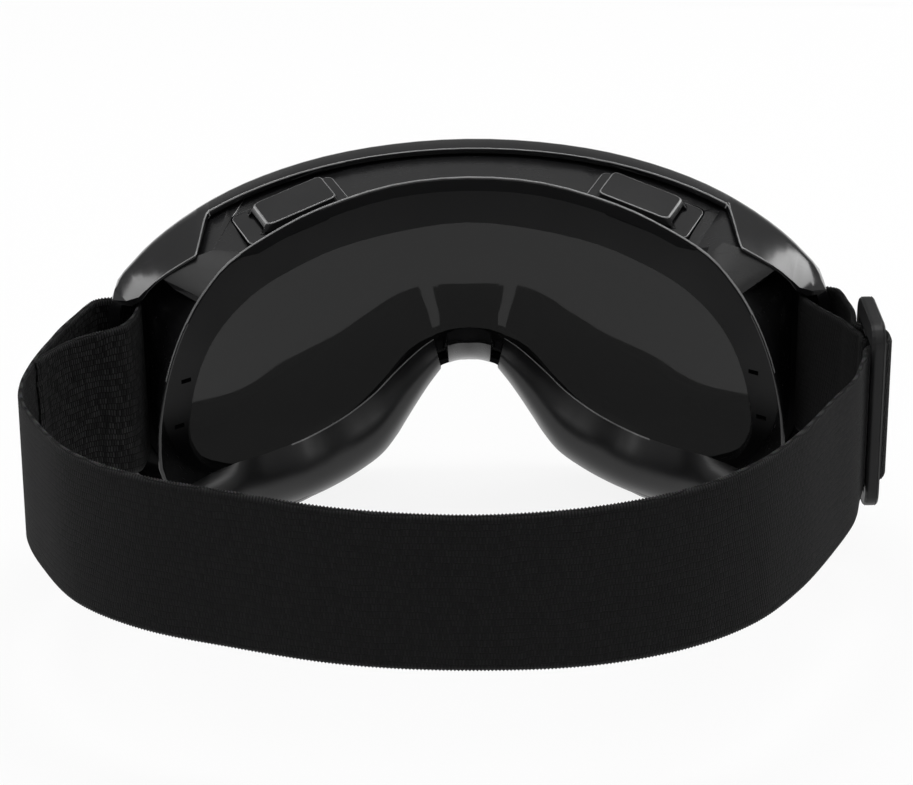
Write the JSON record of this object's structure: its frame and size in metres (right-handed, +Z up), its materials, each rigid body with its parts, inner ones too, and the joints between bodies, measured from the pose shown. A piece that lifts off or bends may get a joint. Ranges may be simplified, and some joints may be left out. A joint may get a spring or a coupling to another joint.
{
  "type": "welding goggles",
  "caption": "Wraparound welding goggles with a dark one-piece lens in a hard bezel, a soft vented face body and an adjustable elastic head strap with a slide buckle.",
  "frame": {"origin": "on the rest plane under the middle of the whole object's bounding box, in the goggles' plane of symmetry", "axes": "+X to the right as the wearer sees it, +Y forward out of the lens, +Z up"},
  "size_m": [0.1926, 0.166, 0.0886],
  "materials": {
    "soft_body": "glossy soft black PVC",
    "bezel": "high-gloss black",
    "lens": "polished dark filter shade",
    "vent": "glossy black",
    "vent_cover": "satin-gloss black",
    "webbing": "ribbed black elastic",
    "buckle": "satin dark grey"
  },
  "bodies": {
    "frame": {"face_body": "soft_body", "front_bezel": "bezel", "lens": "lens", "vent_base_left": "vent", "vent_base_right": "vent", "vent_cap_left": "vent_cover", "vent_cap_right": "vent_cover"},
    "strap": {"strap": "webbing"},
    "buckle": {"buckle": "buckle"}
  },
  "joints": [
    {"name": "strap_stretch", "type": "slide", "parent": "frame", "child": "strap", "axis": [0, -1, 0], "range_m": [0, 0.05], "stiffness_N_per_m": 100, "deforming": ["strap"]},
    {"name": "buckle_slide", "type": "hinge", "parent": "frame", "child": "buckle", "pos_m": [0.0185, 0.00765, 0.0467], "axis": [0, 0, -1], "range_deg": [-4, 32], "deforming": ["strap"]}
  ]
}
